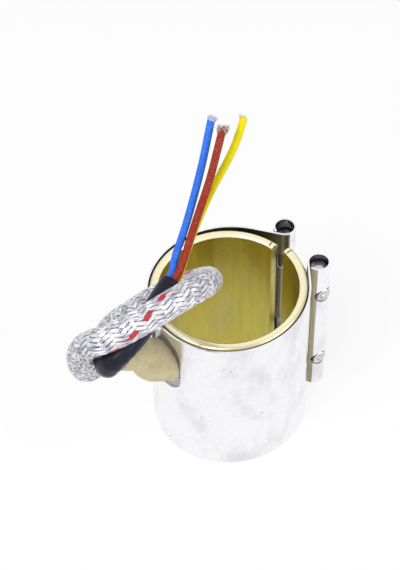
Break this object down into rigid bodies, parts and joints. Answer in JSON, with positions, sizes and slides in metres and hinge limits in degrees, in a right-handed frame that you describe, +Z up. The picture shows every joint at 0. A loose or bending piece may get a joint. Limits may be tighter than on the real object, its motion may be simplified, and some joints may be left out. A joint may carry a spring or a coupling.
{
  "type": "band heater",
  "caption": "Round clamp-on electric band heater with a brass bore liner, polished clamp strap with barrel nuts and screws, ceramic outlet bush and looped metal-braided lead.",
  "frame": {"origin": "centre of the bore at half the band's height", "axes": "+Z up along the bore, the clamp gap opens towards +X and +Y, the outlet and lead leave towards -X and -Y"},
  "size_m": [0.0933, 0.0951, 0.1506],
  "materials": {
    "brass": "worn satin",
    "mica": "matte",
    "ribbon": "satin",
    "strip": "satin",
    "sheath": "satin",
    "polished_strap": "polished",
    "barrel": "turned",
    "screw": "satin",
    "plate": "satin",
    "ceramic": "unglazed",
    "crimp": "satin",
    "braid": "braided",
    "shrink": "satin",
    "blue_cover": "woven",
    "brown_cover": "woven",
    "yellow_cover": "woven"
  },
  "bodies": {
    "root": {"brass_liner": "brass", "inner_mica": "mica", "core_mica": "mica", "resistance_ribbon": "ribbon", "outer_mica": "mica", "live_strip": "strip", "neutral_strip": "strip", "outer_sheath": "sheath", "clamp_strap": "polished_strap", "tapped_barrel": "barrel", "plain_barrel": "barrel", "outlet_plate": "plate", "outlet_bush": "ceramic", "live_crimp": "crimp", "neutral_crimp": "crimp", "earth_crimp": "crimp", "brown_wire_tail": "brown_cover", "blue_wire_tail": "blue_cover", "yellow_wire_tail": "yellow_cover", "braided_lead": "braid", "heat_shrink_sleeve": "shrink", "blue_wire": "blue_cover", "brown_wire": "brown_cover", "yellow_wire": "yellow_cover"},
    "upper_screw": {"clamp_screw_upper": "screw"},
    "lower_screw": {"clamp_screw_lower": "screw"}
  },
  "joints": [
    {"name": "upper_screw_turn", "type": "hinge", "parent": "root", "child": "upper_screw", "pos_m": [0.0342, 0.0113, 0.01925], "axis": [0.5347, -0.845, 0], "continuous": true},
    {"name": "lower_screw_turn", "type": "hinge", "parent": "root", "child": "lower_screw", "pos_m": [0.0342, 0.0113, -0.01925], "axis": [0.5347, -0.845, 0], "continuous": true}
  ]
}
